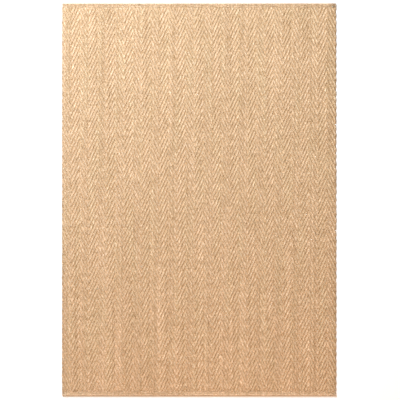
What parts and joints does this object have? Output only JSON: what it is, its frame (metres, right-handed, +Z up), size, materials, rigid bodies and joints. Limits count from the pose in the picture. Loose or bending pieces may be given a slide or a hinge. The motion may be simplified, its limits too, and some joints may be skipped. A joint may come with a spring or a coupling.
{
  "type": "jute rug",
  "caption": "Flat-woven rectangular rug of undyed jute yarn in a herringbone twill of narrow slanting columns, with plain turned hems at both short ends.",
  "frame": {"origin": "on the underside, at the middle of the rug, at floor level", "axes": "+X across the rug towards one selvedge, +Y along the warp towards one hem, +Z up out of the face"},
  "size_m": [1.6, 2.3, 0.009],
  "materials": {
    "jute": "woven from undyed spun jute yarn, matt, pale straw to warm tan with slight changes from yarn to yarn"
  },
  "bodies": {
    "root": {"rug": "jute"}
  },
  "joints": []
}
